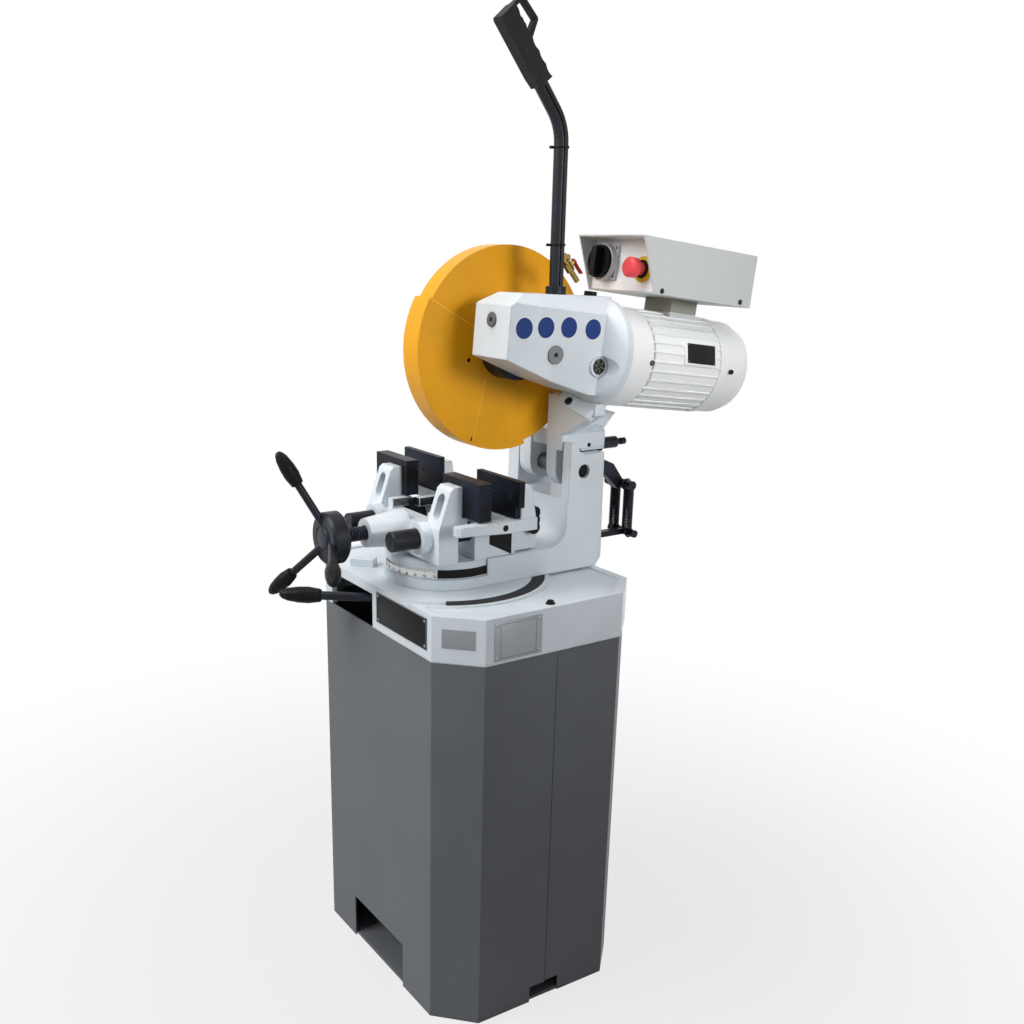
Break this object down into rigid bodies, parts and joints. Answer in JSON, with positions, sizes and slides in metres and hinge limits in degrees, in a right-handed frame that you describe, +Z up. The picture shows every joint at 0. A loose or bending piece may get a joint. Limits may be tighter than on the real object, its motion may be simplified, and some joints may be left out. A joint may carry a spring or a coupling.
{
  "type": "cold saw",
  "caption": "Floor-standing cold saw with swinging arm, lowering head, guarded circular blade, twin-jaw vise, handwheel and motor with control box.",
  "frame": {"origin": "centre of the four floor anchor holes, on the floor", "axes": "+Z up, -Y towards the operator, +X to the operator's right; the blade plane is x = 0 at rest"},
  "size_m": [0.57, 0.9415, 1.8882],
  "materials": {
    "white_paint": "semi-gloss",
    "grey_paint": "satin",
    "black_steel": "black oxide",
    "black_plastic": "satin",
    "black_rubber": "matt",
    "steel": "ground",
    "chrome_ring": "polished",
    "box_paint": "satin",
    "grey_plastic": "satin",
    "yellow_plastic": "gloss",
    "red_plastic": "gloss",
    "brass": "bright",
    "amber_paint": "semi-gloss"
  },
  "bodies": {
    "stand": {"stand_front": "grey_paint", "stand_rear": "grey_paint", "floor_plate": "grey_paint", "coolant_tank": "grey_paint", "coolant_pump": "black_steel", "drip_tray": "white_paint", "tray_pad": "steel", "clamp_stud": "steel", "turntable_spigot": "steel", "mitre_scale": "steel", "vise_bed": "white_paint", "rear_jaw_plates": "black_steel", "guide_bars": "black_steel"},
    "lever": {"mitre_lever": "black_steel", "lever_grip": "black_plastic"},
    "stop_knob": {"jaw_knob": "black_plastic"},
    "jaw": {"moving_jaw": "white_paint", "vise_nut": "brass", "front_jaw_plates": "black_steel"},
    "screw": {"vise_screw": "black_steel", "handwheel": "black_steel", "handwheel_grips": "black_plastic"},
    "arm": {"swing_arm": "white_paint", "pivot_shaft": "steel", "lower_spring_bracket": "black_steel", "return_springs": "black_steel"},
    "head": {"head_casting": "white_paint", "stop_screw": "black_steel", "spindle_nose": "black_steel", "arbor_bearings": "steel", "worm_cap": "steel", "arbor_plug": "steel", "sight_glass": "chrome_ring", "oil_cap": "black_plastic", "motor_housing": "white_paint", "fan_cover": "white_paint", "control_box": "box_paint", "control_panel": "box_paint", "switch_plate": "grey_plastic", "estop_ring": "yellow_plastic", "handle_collar": "black_steel", "handle_tube": "black_steel", "handle_grip": "black_plastic", "trigger_cable": "black_rubber", "valve_body": "brass", "upper_spring_bracket": "black_steel", "fixed_guard": "amber_paint"},
    "rotor": {"motor_rotor": "steel"},
    "switch": {"switch_knob": "black_plastic"},
    "estop": {"estop_button": "red_plastic"},
    "trigger": {"trigger": "black_plastic"},
    "valve": {"valve_lever": "red_plastic"},
    "guard": {"moving_guard": "amber_paint"},
    "blade": {"arbor": "steel", "saw_blade": "steel", "blade_flange": "steel"}
  },
  "joints": [
    {"name": "mitre_swing", "type": "hinge", "parent": "stand", "child": "arm", "pos_m": [0, -0.072, 0.865], "axis": [0, 0, 1], "range_deg": [-30, 30]},
    {"name": "head_tilt", "type": "hinge", "parent": "arm", "child": "head", "pos_m": [0, 0.19, 1.056], "axis": [1, 0, 0], "range_deg": [0, 38], "deforming": ["return_springs"]},
    {"name": "motor_spin", "type": "hinge", "parent": "head", "child": "rotor", "pos_m": [0.1275, 0.25133, 1.27983], "axis": [0, 0.9914, -0.1305], "continuous": true},
    {"name": "blade_spin", "type": "hinge", "parent": "head", "child": "blade", "pos_m": [0, 0.052, 1.298], "axis": [1, 0, 0], "continuous": true},
    {"name": "guard_swing", "type": "hinge", "parent": "head", "child": "guard", "pos_m": [0, 0.052, 1.298], "axis": [1, 0, 0], "range_deg": [-125, 0.5]},
    {"name": "vise_screw_turn", "type": "hinge", "parent": "stand", "child": "screw", "pos_m": [0, -0.3, 0.962], "axis": [0, 1, 0], "range_deg": [-3000, 2940]},
    {"name": "jaw_slide", "type": "slide", "parent": "stand", "child": "jaw", "axis": [0, 1, 0], "range_m": [-0.0502, 0.0492]},
    {"name": "mitre_lock", "type": "hinge", "parent": "stand", "child": "lever", "pos_m": [0, -0.155, 0.814], "axis": [0, 0, 1], "range_deg": [-20, 20]},
    {"name": "stop_knob_turn", "type": "hinge", "parent": "stand", "child": "stop_knob", "pos_m": [0.11, 0.067, 0.972], "axis": [1, 0, 0], "range_deg": [-90, 90]},
    {"name": "main_switch", "type": "hinge", "parent": "head", "child": "switch", "pos_m": [0.076, 0.23452, 1.45855], "axis": [0, 0.9914, -0.1305], "range_deg": [0, 90]},
    {"name": "estop_press", "type": "slide", "parent": "head", "child": "estop", "axis": [0, 0.9914, -0.1305], "range_m": [0, 0.004]},
    {"name": "trigger_pull", "type": "hinge", "parent": "head", "child": "trigger", "pos_m": [0.1275, -0.02357, 1.85172], "axis": [1, 0, 0], "range_deg": [-8, 0]},
    {"name": "valve_turn", "type": "hinge", "parent": "head", "child": "valve", "pos_m": [0.1275, 0.12955, 1.45851], "axis": [0, 0.7627, 0.6468], "range_deg": [0, 90]}
  ],
  "couplings": [
    {"joint": "blade_spin", "follows": "motor_spin", "ratio": 0.020833},
    {"joint": "guard_swing", "follows": "head_tilt", "ratio": -3.25},
    {"joint": "jaw_slide", "follows": "vise_screw_turn", "m_per_rad": 0.00095493}
  ]
}
